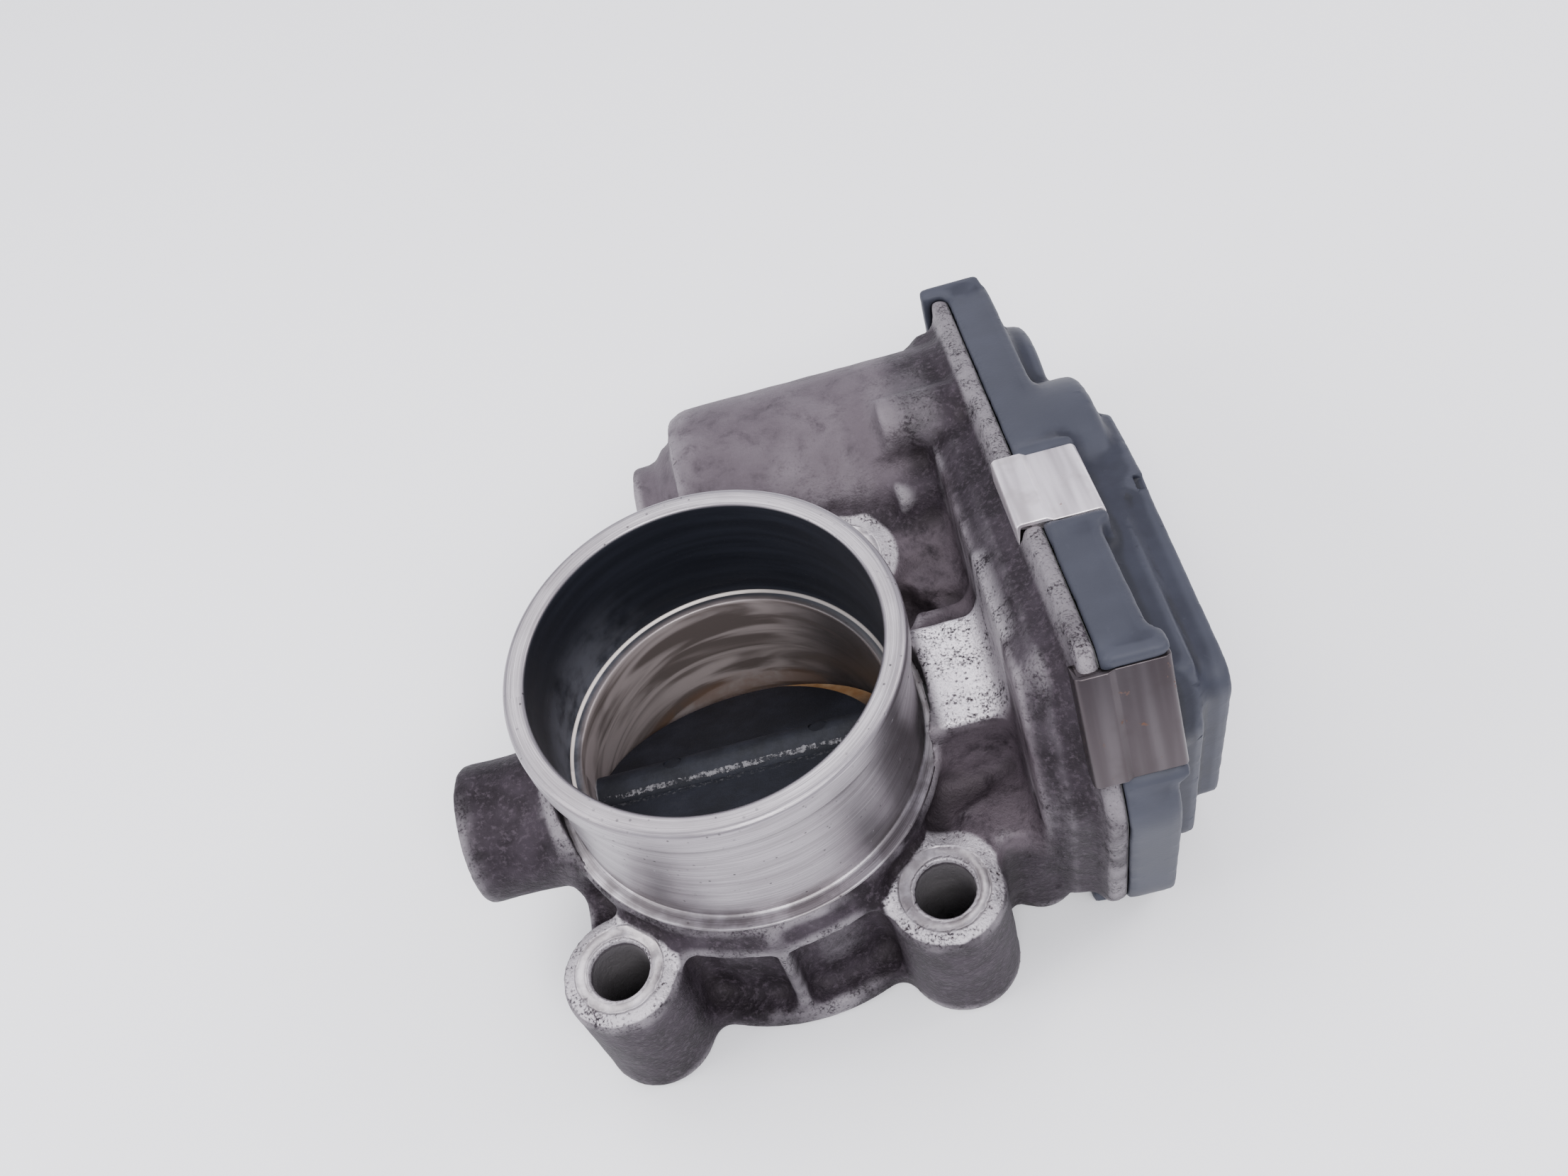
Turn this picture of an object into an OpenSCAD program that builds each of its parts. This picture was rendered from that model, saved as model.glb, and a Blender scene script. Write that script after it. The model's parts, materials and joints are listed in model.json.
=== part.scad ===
// Electronic throttle body with a motor-driven butterfly plate.
// The origin is the centre of the bore on the flange's sealing face. +Z runs up
// the bore to the hose inlet, and +X runs along the throttle shaft to the gear cover.

/* [Bore and inlet] */
// Diameter of the throttle bore
bore_d = 49.5; // [49:0.1:50]
// Diameter of the wider inlet chamber above the plate
inlet_d = 53.2; // [52.8:0.1:53.6]
// Diameter of the hose seat under the bead
hose_seat_d = 57.6; // [57:0.1:58]
// Outside diameter of the hose bead
bead_d = 60; // [59.5:0.1:60.5]
// Height of the inlet rim over the flange face
rim_z = 59.8; // [58:0.2:62]
// Height of the step between the bore and the inlet chamber
step_z = 36.8; // [36:0.2:38]

/* [Flange] */
// Thickness of the flange plate
flange_t = 4; // [3:0.5:5]
// Half the spacing of the two front bolts
front_bolt_x = 25.25; // [25:0.05:25.5]
// Distance of the front bolts in front of the bore axis
front_bolt_y = 29.1; // [28.9:0.1:29.3]
// Half the spacing of the two rear bolts
rear_bolt_x = 22.3; // [22:0.1:22.6]
// Distance of the rear bolts behind the bore axis
rear_bolt_y = 31.5; // [31:0.1:32]
// Diameter of the bolt holes, a clearance hole for M8
bolt_hole_d = 9.2; // [8.8:0.1:9.4]
// Diameter of the register in the sealing face, around the outlet
register_d = 54; // [53.6:0.2:54.4]
// Depth of that register
register_t = 2.4; // [2:0.1:2.8]
// Height of the front bolt bosses
front_boss_z = 26; // [25:0.5:27]
// Height of the rear bolt bosses
rear_boss_z = 32; // [31:0.5:33]

/* [Throttle shaft] */
// Height of the shaft axis over the flange face
shaft_z = 26; // [26:0.1:26.2]
// Diameter of the throttle shaft
shaft_d = 8; // [7.8:0.1:8.2]
// Thickness of the throttle plate
plate_t = 2.2; // [1.8:0.1:2.6]
// Angle of the closed plate to the flange
closed_angle = 6; // [4:1:8]
// Angle of the resting plate to the flange
rest_angle = 31; // [25:1:35]
// Angle of the fully open plate to the flange
open_angle = 90; // [84:1:90]

/* [Gear train] */
// Module of the sector gear and the small idler gear
slow_module = 0.9; // [0.9:0.01:0.91]
// Teeth of the whole circle that the sector gear is cut from
sector_teeth = 50; // [50:1:50]
// Teeth of the small idler gear
idler_small_teeth = 16; // [16:1:16]
// Module of the large idler gear and the motor pinion
fast_module = 0.6; // [0.6:0.005:0.605]
// Teeth of the large idler gear
idler_large_teeth = 73; // [73:1:73]
// Teeth of the motor pinion
pinion_teeth = 18; // [18:1:18]
// Distance from the throttle shaft to the motor shaft
motor_distance = 56.75; // [56.7:0.01:56.8]
// Angle by which the motor sits below the throttle shaft
motor_drop_angle = 5.1; // [5:0.1:5.2]

/* [Housing and cover] */
// Where the gear housing's clamping lip starts along X
lip_x = 49.4; // [49:0.2:49.8]
// Thickness of the clamping lip
lip_t = 3; // [2.8:0.1:3.2]
// Depth of the cover's rim band
cover_rim_t = 7.8; // [7.6:0.1:8]
// Wall of the plastic cover
cover_wall = 1.8; // [1.6:0.1:2]
// Width of a cover clip
clip_w = 18; // [16:0.5:19]
// Thickness of the clip's spring steel
clip_t = 0.8; // [0.6:0.1:1]

/* [Hidden] */
$fn = 96;

joint_gap = 0.05;               // radial clearance of a running fit
over = 0.02;                    // how far a cut runs past the face it opens
bore_r = bore_d / 2;
inlet_r = inlet_d / 2;
bead_r = bead_d / 2;
hose_seat_r = hose_seat_d / 2;
shaft_r = shaft_d / 2;
bolt_hole_r = bolt_hole_d / 2;
register_r = register_d / 2;

// Gear train: pitch radii, then the centres in the plane across the shaft.
sector_r = slow_module * sector_teeth / 2;
idler_small_r = slow_module * idler_small_teeth / 2;
idler_large_r = fast_module * idler_large_teeth / 2;
pinion_r = fast_module * pinion_teeth / 2;
slow_centres = sector_r + idler_small_r;
fast_centres = idler_large_r + pinion_r;
idler_bend = acos((slow_centres ^ 2 + motor_distance ^ 2 - fast_centres ^ 2)
                  / (2 * slow_centres * motor_distance));
idler_angle = idler_bend - motor_drop_angle;
motor_y = motor_distance * cos(motor_drop_angle);
motor_z = shaft_z - motor_distance * sin(motor_drop_angle);
idler_y = slow_centres * cos(idler_angle);
idler_z = shaft_z + slow_centres * sin(idler_angle);
idler_to_motor_angle = atan2(motor_z - idler_z, motor_y - idler_y);

// Stations along X.
boss_end_x = 46.2;              // closed end of the left shaft boss, measured to -X
joint_x = lip_x + lip_t;        // plane where housing and cover meet
rim_top_x = joint_x + cover_rim_t;
clip_pad_x = rim_top_x + 1.8;   // outer face of the pads that the clips grip
pan_x = 41.5;                   // outside of the gear pan's back wall
pan_floor_x = 43.5;
sector_x = [53.2, 57.4];
idler_small_x = [52.9, 58.2];
idler_large_x = [58.8, 61.5];
pinion_x = [58.5, 61.9];
motor_dome_x = 64.2;
idler_dome_x = 68;
box_x = 70.4;                   // outermost face of the sensor box
bearing_x = [34.1, 39.1];
ring_end_x = 50.8;              // end of the ring that carries the spring's bush
motor_rear_x = -0.5;
motor_front_x = 43;
motor_can_r = 17.4;
motor_out_r = 21;

// Outline of the clamping lip, [y, z above the shaft, corner radius].
lip_corners = [[-22, 40.5, 4], [-34, 14, 12], [-29, -25.6, 11], [79.5, -25.6, 9], [82.5, 11, 6]];

// Outline of the gear pan's wall, inside the lip.
pan_corners = [[-19, 36, 5], [-30, 12, 12], [-25.5, -25.6, 8], [76.2, -25.6, 8], [77.8, 8, 5]];

// Outline of the sensor box on the cover.
box_corners = [[-24, 29.5, 4], [-19, -13, 4], [36, -13, 3], [36, 20.5, 3], [15, 26.5, 1], [15, 25, 1]];

function unit(v) = v / norm(v);

// Points of the arc that rounds the corner b between its neighbours a and c.
function corner_arc(a, b, c, r, steps = 8) =
    let (
        to_a = unit(a - b),
        to_c = unit(c - b),
        half = acos(to_a * to_c) / 2,
        centre = b + unit(to_a + to_c) * r / sin(half),
        first = unit(b + to_a * r / tan(half) - centre),
        last = unit(b + to_c * r / tan(half) - centre),
        turn = 180 - 2 * half
    )
    [for (i = [0:steps])
        centre + r * (sin(turn * (1 - i / steps)) * first + sin(turn * i / steps) * last)
               / sin(turn)];

// Closed outline through the corners, each rounded by its own radius.
function rounded(corners) =
    let (n = len(corners))
    [for (i = [0:n - 1])
        let (
            a = corners[(i + n - 1) % n],
            b = corners[i],
            c = corners[(i + 1) % n]
        )
        each corner_arc([a[0], a[1]], [b[0], b[1]], [c[0], c[1]], b[2])];

// The same corners moved inward by d.
function inset(corners, d) =
    let (n = len(corners))
    [for (i = [0:n - 1])
        let (
            a = corners[(i + n - 1) % n],
            b = corners[i],
            c = corners[(i + 1) % n],
            to_a = unit([a[0] - b[0], a[1] - b[1]]),
            to_c = unit([c[0] - b[0], c[1] - b[1]]),
            half = acos(to_a * to_c) / 2,
            moved = [b[0], b[1]] + unit(to_a + to_c) * d / sin(half)
        )
        [moved[0], moved[1], max(b[2] - d, 0.6)]];

// Extrudes a Y-Z outline, whose heights count from the shaft axis, from x0 to x1.
module slab(x0, x1) {
    translate([x0, 0, shaft_z])
        rotate([90, 0, 90])
            linear_extrude(x1 - x0)
                children();
}

module slab_outline(corners, x0, x1) {
    slab(x0, x1) polygon(rounded(corners));
}

// Round bar along X.
module rod(r, x0, x1, y = 0, z = shaft_z) {
    translate([x0, y, z])
        rotate([0, 90, 0])
            cylinder(r = r, h = x1 - x0);
}

// Round tube along X.
module tube(r_out, r_in, x0, x1, y = 0, z = shaft_z) {
    difference() {
        rod(r_out, x0, x1, y, z);
        rod(r_in, x0 - 1, x1 + 1, y, z);
    }
}

module block(low, high) {
    translate(low) cube(high - low);
}

// Both bolts of a mirrored pair.
module at_pair(x, y) {
    for (side = [-1, 1])
        translate([side * x, y, 0]) children();
}

// ---------------------------------------------------------------- housing

module inlet_outside() {
    ring_r = 31.5;
    ledge_r = 29.6;
    ledge_z = 32;
    rotate_extrude($fn = 180)
        polygon([
            [20, 27], [ring_r - 1, 28.2], [ring_r, 29.2], [ring_r, ledge_z - 1],
            [ring_r - 0.6, ledge_z - 0.5], [ledge_r, ledge_z - 0.4], [ledge_r, ledge_z + 0.1],
            [hose_seat_r, ledge_z + 0.6], [hose_seat_r, rim_z - 7], [hose_seat_r + 0.3, rim_z - 6],
            [bead_r - 0.2, rim_z - 4.9], [bead_r, rim_z - 4.4], [bead_r, rim_z - 1.3],
            [bead_r - 0.3, rim_z - 0.6], [bead_r - 1, rim_z], [20, rim_z]
        ]);
}

module barrel_outside() {
    barrel_r = 28.6;
    lip_r = 34;
    cylinder(r = barrel_r, h = 30);
    cylinder(r = lip_r, h = flange_t, $fn = 180);
}

// Curved stiffening rib and the upright rib between the two front bosses.
module front_ribs() {
    rib_r = 33;
    rib_z = 27;
    rib_t = 1.8;
    intersection() {
        translate([0, 0, rib_z - rib_t]) cylinder(r = rib_r, h = rib_t);
        block([-22, -40, 0], [22, -15, 40]);
    }
    block([-1.9, -32.6, 1], [0.3, -26, 29.5]);
}

module bolt_boss(x, y, top, r, turn) {
    spot_r = 6.9;
    spot_t = 0.6;
    translate([x, y, 0]) {
        cylinder(r = r, h = top - spot_t);
        cylinder(r = spot_r, h = top);
        // Web from the boss in to the barrel
        rotate([0, 0, turn])
            block([-5.5, 0, 0], [5.5, 16, top - 4]);
    }
}

module bolt_bosses() {
    front_turn = atan2(front_bolt_x, front_bolt_y);
    rear_turn = 180 - atan2(rear_bolt_x, rear_bolt_y);
    for (side = [-1, 1]) {
        bolt_boss(side * front_bolt_x, -front_bolt_y, front_boss_z, 9.3, side * front_turn);
        bolt_boss(side * rear_bolt_x, rear_bolt_y, rear_boss_z, 10, side * rear_turn);
    }
}

module left_shaft_boss() {
    rod(11.5, -boss_end_x, -20);
    // Thicker root where the boss leaves the barrel, and the webs under it
    rod(13.5, -31, -20);
    block([-33, -6, 4], [-24, 6, shaft_z]);
    block([-30.5, -24, 2], [-20, -8, 21]);
}

module right_shaft_neck() {
    neck_top = shaft_z + 12;
    rod(11, 20, 46);
    block([22, -9.7, shaft_z - 14], [45.2, 9.9, neck_top]);
    // Web under the neck down to the flange
    block([24, -6, 2], [43, 6, shaft_z]);
}

// Column and gusset between the right front boss and the gear pan.
module corner_column() {
    x = stop_screw_at[0];
    y = stop_screw_at[1];
    translate([x, y, 0]) cylinder(r = 5.2, h = 20);
    block([x - 5, y, 2], [46, -6, 19]);
    block([30, -20, 3], [x, -12, 18]);
    // Gusset that widens from the boss to the pan
    translate([0, 0, 17])
        linear_extrude(9.4)
            polygon(rounded([[30, -22, 0.6], [30, -17.5, 0.6], [47, -12, 0.6], [47, -24.8, 1.5], [41.5, -24.8, 3]]));
    // Web between the boss, the barrel and the gusset
    block([20, -24, 8], [36, -8, 24.5]);
}

// Pads and webs that tie the rear boss and the motor housing to the gear pan.
module rear_pads() {
    block([26, 8, 8], [44, 32, 23]);
    block([33, 22, 12], [43.6, 30, 29.6]);
    block([34, 29.6, 12], [43.6, 33.2, 31.4]);
    block([31.5, 8, 12], [42.5, 17, 32]);
    block([40.5, 20, 8], [45.5, 38.5, 30.5]);
}

module motor_housing_outside() {
    rod(motor_out_r, 0, lip_x + 1, motor_y, motor_z);
    rod(motor_out_r - 1.2, -2.6, 1, motor_y, motor_z);
    rod(15.2, -5.4, 0, motor_y, motor_z);
    rod(12.8, -11.4, 0, motor_y, motor_z);
    // Lug on top of the housing, and the bosses of the motor's screws
    rod(5.4, 34, 46, motor_y - 7, motor_z + 19.6);
    at_motor_screws() rod(4.2, 34, pan_floor_x, 0, 0);
    // Web to the rear bosses and barrel
    block([2, 28, 4], [40, motor_y - 6, motor_z + 2]);
}

module gear_pan_outside() {
    slab_outline(inset(pan_corners, 2.2), pan_x, lip_x + 1);
    slab_outline(pan_corners, pan_x + 3.6, lip_x + 1);
    slab_outline(lip_corners, lip_x, joint_x);
}

module housing_outside() {
    inlet_outside();
    barrel_outside();
    front_ribs();
    bolt_bosses();
    left_shaft_boss();
    right_shaft_neck();
    corner_column();
    rear_pads();
    motor_housing_outside();
    gear_pan_outside();
}

module air_passage() {
    chamfer = 0.5;
    rotate_extrude($fn = 180)
        polygon([
            [0, -1], [register_r, -1], [register_r, register_t], [bore_r, register_t],
            [bore_r, step_z - 0.4], [bore_r + 0.4, step_z],
            [inlet_r, step_z + 0.3], [inlet_r, rim_z - chamfer],
            [inlet_r + chamfer, rim_z + over], [inlet_r + chamfer, rim_z + 1], [0, rim_z + 1]
        ]);
}

module shaft_passage() {
    rod(shaft_r + 0.3, -boss_end_x + 2, pan_x + 6);
    rod(6, -boss_end_x - 1, -34);            // needle sleeve
    rod(8, -boss_end_x - 1, -boss_end_x + 2); // end plug
    rod(6.5, -34, -29.6);                    // left seal
    rod(6.5, 29.6, bearing_x[0] + 1);        // right seal
    rod(8, bearing_x[0], ring_end_x + 1);    // ball bearing, and the way to it
    rod(8.6, bearing_x[1] + 0.1, bearing_x[1] + 1.2);  // groove of its circlip
}

module motor_cavity() {
    rod(motor_can_r + 0.3, motor_rear_x - 0.6, pan_floor_x + 3, motor_y, motor_z);
    rod(7.5, -9.6, 0, motor_y, motor_z);
}

module gear_chamber() {
    difference() {
        union() {
            slab_outline(inset(pan_corners, 4.6), pan_floor_x, joint_x + 1);
            slab_outline(inset(pan_corners, 3), pan_x + 6, joint_x + 1);
        }
        // Boss for the idler pin, and the ring that carries the spring's bush
        rod(6, pan_floor_x - 1, 51.5, idler_y, idler_z);
        rod(9.2, pan_floor_x - 1, ring_end_x);
    }
}

module bolt_passages() {
    seat_r = 9.6;
    at_pair(front_bolt_x, -front_bolt_y) {
        translate([0, 0, -1]) cylinder(r = bolt_hole_r, h = rear_boss_z + 2);
        translate([0, 0, front_boss_z]) cylinder(r = 8.6, h = 4);
    }
    at_pair(rear_bolt_x, rear_bolt_y) {
        translate([0, 0, -1]) cylinder(r = bolt_hole_r, h = rear_boss_z + 2);
        // Relief in the motor housing for the bolt head
        translate([0, 0, rear_boss_z]) cylinder(r = seat_r, h = 14);
    }
}

stop_screw_at = [40.8, -19.4];

// The two screws that hold the motor, on the side of it that faces the idler gear.
module at_motor_screws() {
    screw_circle_r = 20.2;
    for (a = [145, 215])
        translate([0, motor_y + screw_circle_r * cos(a), motor_z + screw_circle_r * sin(a)])
            children();
}

module housing() {
    color([0.50, 0.48, 0.49])
        difference() {
            housing_outside();
            air_passage();
            shaft_passage();
            motor_cavity();
            gear_chamber();
            bolt_passages();
            gasket_ring(joint_x + 1);
            // Notch for the cover's foot
            block([lip_x - 2, foot_y[0] - 0.3, -1], [joint_x + 1, foot_y[1] + 0.3, foot_z[1] + joint_gap]);
            block([lip_x - 2, foot_y[0] - 0.3, -1], [lip_x, foot_y[1] + 0.3, foot_z[1] + 2.7]);
            rod(3, pan_x - 2.5, 52, idler_y, idler_z);
            at_motor_screws() rod(1.6, 35.5, 45, 0, 0);
            translate([stop_screw_at[0], stop_screw_at[1], -1]) cylinder(r = 2.1, h = 18);
        }
}

// ---------------------------------------------------------------- throttle shaft group

// Turns a part drawn with a closed-flat plate to its resting angle.
module at_rest_angle() {
    translate([0, 0, shaft_z])
        rotate([-rest_angle, 0, 0])
            children();
}

plate_slot_t = plate_t + 0.04;
plate_screw_x = 12;

module throttle_shaft() {
    color([0.62, 0.62, 0.64])
        difference() {
            rod(shaft_r, -boss_end_x + 3.5, 59.4);
            // Slot that the plate slides into
            at_rest_angle()
                block([-bore_r, -shaft_r - 1, -plate_slot_t / 2], [bore_r, shaft_r + 1, plate_slot_t / 2]);
            // Flat for the plate screws' heads on the engine side, and their threaded holes
            at_rest_angle()
                for (x = [-plate_screw_x, plate_screw_x])
                    translate([x, 0, -shaft_r - 1]) cylinder(r = 1.5, h = 2 * shaft_r + 2);
            at_rest_angle()
                block([-17, -5, -shaft_r - 1], [17, 5, -shaft_r + 0.9]);
        }
}

module throttle_plate() {
    plate_gap = 0.12;
    color([0.16, 0.16, 0.18])
        translate([0, 0, shaft_z])
            rotate([-(rest_angle - closed_angle), 0, 0])
                difference() {
                    intersection() {
                        translate([0, 0, -20]) cylinder(r = bore_r - plate_gap, h = 40, $fn = 180);
                        rotate([-closed_angle, 0, 0])
                            block([-30, -30, -plate_t / 2], [30, 30, plate_t / 2]);
                    }
                    rotate([-closed_angle, 0, 0])
                        for (x = [-plate_screw_x, plate_screw_x])
                            translate([x, 0, -5]) cylinder(r = 1.7, h = 10);
                }
}

module plate_screws() {
    head_z = shaft_r - 0.9;
    color([0.55, 0.52, 0.45])
        at_rest_angle()
            for (x = [-plate_screw_x, plate_screw_x])
                translate([x, 0, 0])
                    mirror([0, 0, 1]) difference() {
                        union() {
                            translate([0, 0, -shaft_r + 0.3]) cylinder(r = 1.5, h = head_z + shaft_r - 0.3);
                            translate([0, 0, head_z]) cylinder(r1 = 2.9, r2 = 2.4, h = 1.3);
                        }
                        translate([0, 0, head_z + 0.5]) cylinder(r = 1.2, h = 2, $fn = 6);
                    }
}

module shaft_bearing_left() {
    color([0.66, 0.66, 0.68])
        tube(6, shaft_r + joint_gap, -44, -34.2);
}

module shaft_bearing_right() {
    groove_r = 6;
    color([0.70, 0.70, 0.72])
        difference() {
            tube(8, shaft_r + joint_gap, bearing_x[0], bearing_x[1]);
            // Grooves between the two rings and the shield
            tube(groove_r + 0.9, groove_r - 0.7, bearing_x[0] - 1, bearing_x[0] + 0.3);
            tube(groove_r + 0.9, groove_r - 0.7, bearing_x[1] - 0.3, bearing_x[1] + 1);
        }
}

module bearing_circlip() {
    color([0.30, 0.30, 0.32])
        difference() {
            tube(8.5, 7, bearing_x[1] + 0.15, bearing_x[1] + 1.15);
            block([bearing_x[1], -1.8, shaft_z], [bearing_x[1] + 2, 1.8, shaft_z + 10]);
        }
}

module shaft_seal(x0, x1, mouth) {
    color([0.10, 0.10, 0.10])
        difference() {
            tube(6.5, shaft_r + 0.08, x0, x1);
            tube(5.8, shaft_r + 0.9, mouth[0], mouth[1]);
        }
}

module shaft_seal_left() {
    shaft_seal(-33.8, -29.9, [-34.4, -31.4]);
}

module shaft_seal_right() {
    shaft_seal(29.9, 33.8, [31.4, 34.4]);
}

module shaft_end_plug() {
    color([0.55, 0.55, 0.57])
        difference() {
            rod(8, -boss_end_x + 0.1, -boss_end_x + 1.9);
            rod(6, -boss_end_x - 1, -boss_end_x + 1);
        }
}

// ---------------------------------------------------------------- return spring

spring_r = 12.6;
spring_wire_r = 0.75;
spring_x = [45.2, 50.4];
spring_turns = 3;
spring_steps = 24;

function spring_point(i) =
    let (t = i / (spring_turns * spring_steps), a = 360 * spring_turns * t)
    [spring_x[0] + (spring_x[1] - spring_x[0]) * t, spring_r * cos(a), spring_r * sin(a)];

// Ring of points around the wire, in the plane of the coil's radius and the X axis.
function spring_ring(i, sides) =
    let (p = spring_point(i), a = 360 * i / spring_steps)
    [for (k = [0:sides - 1])
        let (b = 360 * k / sides, out = spring_wire_r * cos(b))
        [p[0] + spring_wire_r * sin(b), p[1] + out * cos(a), p[2] + out * sin(a)]];

module return_spring() {
    sides = 8;
    rings = spring_turns * spring_steps;
    points = [for (i = [0:rings]) each spring_ring(i, sides)];
    walls = [for (i = [0:rings - 1], k = [0:sides - 1])
        let (n = (k + 1) % sides)
        [i * sides + k, i * sides + n, (i + 1) * sides + n, (i + 1) * sides + k]];
    ends = [[for (k = [sides - 1:-1:0]) k], [for (k = [0:sides - 1]) rings * sides + k]];
    color([0.58, 0.58, 0.62])
        translate([0, 0, shaft_z])
            polyhedron(points = points, faces = concat(walls, ends), convexity = 10);
}

module spring_bush() {
    color([0.80, 0.78, 0.70]) {
        tube(11.4, 9.3, pan_floor_x, ring_end_x - 0.4);
        tube(14.2, 9.3, pan_floor_x, pan_floor_x + 1);
    }
}

// ---------------------------------------------------------------- gears

pressure_angle = 20;
function involute(a) = tan(a) * 180 / PI - a;

// Half the angle that a tooth fills at radius rho.
function half_tooth(rho, teeth, module_mm, backlash) =
    let (
        pitch_r = module_mm * teeth / 2,
        base_r = pitch_r * cos(pressure_angle),
        roll = rho > base_r ? acos(base_r / rho) : 0
    )
    90 / teeth - backlash / pitch_r * 90 / PI + involute(pressure_angle) - involute(roll);

// Outline of teeth number first to last of a gear, with a tooth on angle 0.
function gear_points(teeth, module_mm, first, last) =
    let (
        backlash = 0.09,
        flank_steps = 4,
        tip_r = module_mm * (teeth / 2 + 0.9),
        root_r = module_mm * (teeth / 2 - 1.2),
        base_r = max(module_mm * teeth / 2 * cos(pressure_angle), root_r + 0.05),
        radii = concat([root_r], [for (k = [0:flank_steps]) base_r + (tip_r - base_r) * k / flank_steps])
    )
    [for (i = [first:last], side = [-1, 1], k = [0:flank_steps + 1])
        let (
            rho = side < 0 ? radii[k] : radii[flank_steps + 1 - k],
            a = i * 360 / teeth + side * half_tooth(rho, teeth, module_mm, backlash)
        )
        rho * [cos(a), sin(a)]];

// Spur gear between two X stations, with a tooth pointing at angle turn.
module spur_gear(teeth, module_mm, x, turn, y, z) {
    translate([x[0], y, z])
        rotate([90, 0, 90])
            rotate([0, 0, turn])
                linear_extrude(x[1] - x[0])
                    polygon(gear_points(teeth, module_mm, 0, teeth - 1));
}

hub_end_x = 58.3;               // outer end of the sector gear's hub
magnet_t = 1.1;
first_sector_tooth = -5;
last_sector_tooth = 11;

module sector_gear() {
    hub_r = 8.2;
    sector_points = gear_points(sector_teeth, slow_module, first_sector_tooth, last_sector_tooth);
    tooth_angle = 360 / sector_teeth;
    start = first_sector_tooth * tooth_angle;
    end = last_sector_tooth * tooth_angle;
    web_r = sector_r - 5;
    color([0.86, 0.84, 0.76])
        difference() {
            union() {
                rod(hub_r, 51.8, hub_end_x);
                translate([sector_x[0], 0, shaft_z])
                    rotate([90, 0, 90])
                        rotate([0, 0, idler_angle])
                            linear_extrude(sector_x[1] - sector_x[0])
                                polygon(concat([[0, 0]], sector_points));
                // Stop lever opposite the teeth
                translate([sector_x[0], 0, shaft_z])
                    rotate([90, 0, 90])
                        rotate([0, 0, idler_angle + 198])
                            linear_extrude(sector_x[1] - sector_x[0])
                                polygon([[0, -7], [13, -4], [15.5, -2], [15.5, 2], [13, 4], [0, 7]]);
            }
            rod(shaft_r, 50, 60);
            // Window that lightens the web
            for (a = [start + 22, (start + end) / 2, end - 22])
                translate([sector_x[0] - 1, 0, shaft_z])
                    rotate([a + idler_angle, 0, 0])
                        translate([0, (hub_r + web_r) / 2 + 1.4, 0])
                            rotate([0, 90, 0]) cylinder(r = 2.4, h = 8);
            tube(7.1, 4.9, hub_end_x - magnet_t, 60);
        }
}

module sensor_magnet() {
    color([0.20, 0.20, 0.22])
        tube(7.1, 4.9, hub_end_x - magnet_t, hub_end_x);
}

module idler_gear() {
    phase_small = idler_angle + 180 + 180 / idler_small_teeth;
    bore = 3 + joint_gap;
    color([0.84, 0.82, 0.74])
        difference() {
            union() {
                spur_gear(idler_small_teeth, slow_module, idler_small_x, phase_small, idler_y, idler_z);
                spur_gear(idler_large_teeth, fast_module, idler_large_x, idler_to_motor_angle,
                          idler_y, idler_z);
                rod(5.6, idler_small_x[1] - 0.5, idler_large_x[0] + 0.5, idler_y, idler_z);
                rod(5, 52, 63, idler_y, idler_z);
            }
            rod(bore, 50, 66, idler_y, idler_z);
            // Shallow dish in the large gear's outer face
            tube(18.6, 7.4, idler_large_x[1] - 0.9, idler_large_x[1] + 1, idler_y, idler_z);
            for (a = [30:60:330])
                translate([idler_large_x[0] - 1, idler_y, idler_z])
                    rotate([a, 0, 0])
                        translate([0, 13, 0])
                            rotate([0, 90, 0]) cylinder(r = 2.8, h = 6);
        }
}

module idler_pin() {
    color([0.72, 0.72, 0.74])
        rod(3, pan_x - 2.5, 65.4, idler_y, idler_z);
}

// ---------------------------------------------------------------- motor

motor_shaft_r = 1.6;

module motor_can() {
    can_wall = 1.2;
    color([0.60, 0.60, 0.62])
        difference() {
            union() {
                rod(motor_can_r, motor_rear_x, motor_front_x, motor_y, motor_z);
                rod(6.6, -9, motor_rear_x + 1, motor_y, motor_z);
            }
            rod(motor_can_r - can_wall, motor_rear_x + can_wall, motor_front_x + 1, motor_y, motor_z);
            rod(5.2, -7.9, motor_rear_x + 2, motor_y, motor_z);
        }
}

module motor_magnets() {
    magnet_out = motor_can_r - 1.25;
    magnet_in = 12.6;
    color([0.22, 0.22, 0.24])
        for (side = [-1, 1])
            intersection() {
                tube(magnet_out, magnet_in, 2.4, 32, motor_y, motor_z);
                block([0, motor_y - 14, side > 0 ? motor_z + 4 : motor_z - 20],
                      [34, motor_y + 14, side > 0 ? motor_z + 20 : motor_z - 4]);
            }
}

module motor_armature() {
    slots = 5;
    color([0.52, 0.50, 0.48])
        difference() {
            union() {
                rod(12, 4, 30, motor_y, motor_z);
                rod(9, 1.6, 33.5, motor_y, motor_z);
                rod(4.2, 33.5, 38.5, motor_y, motor_z);
            }
            rod(motor_shaft_r, -2, 40, motor_y, motor_z);
            for (i = [0:slots - 1])
                translate([4 - 1, motor_y, motor_z])
                    rotate([i * 360 / slots, 0, 0])
                        translate([0, 9.6, -0.9]) cube([28, 4, 1.8]);
        }
}

module motor_shaft() {
    color([0.72, 0.72, 0.74])
        rod(motor_shaft_r, -7.2, pinion_x[1] + 0.2, motor_y, motor_z);
}

module motor_pinion() {
    phase = idler_to_motor_angle + 180 + 180 / pinion_teeth;
    color([0.72, 0.60, 0.34])
        difference() {
            union() {
                spur_gear(pinion_teeth, fast_module, pinion_x, phase, motor_y, motor_z);
                rod(pinion_r - 0.9, 57.4, pinion_x[0] + 0.3, motor_y, motor_z);
            }
            rod(motor_shaft_r, 56, 64, motor_y, motor_z);
        }
}

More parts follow.
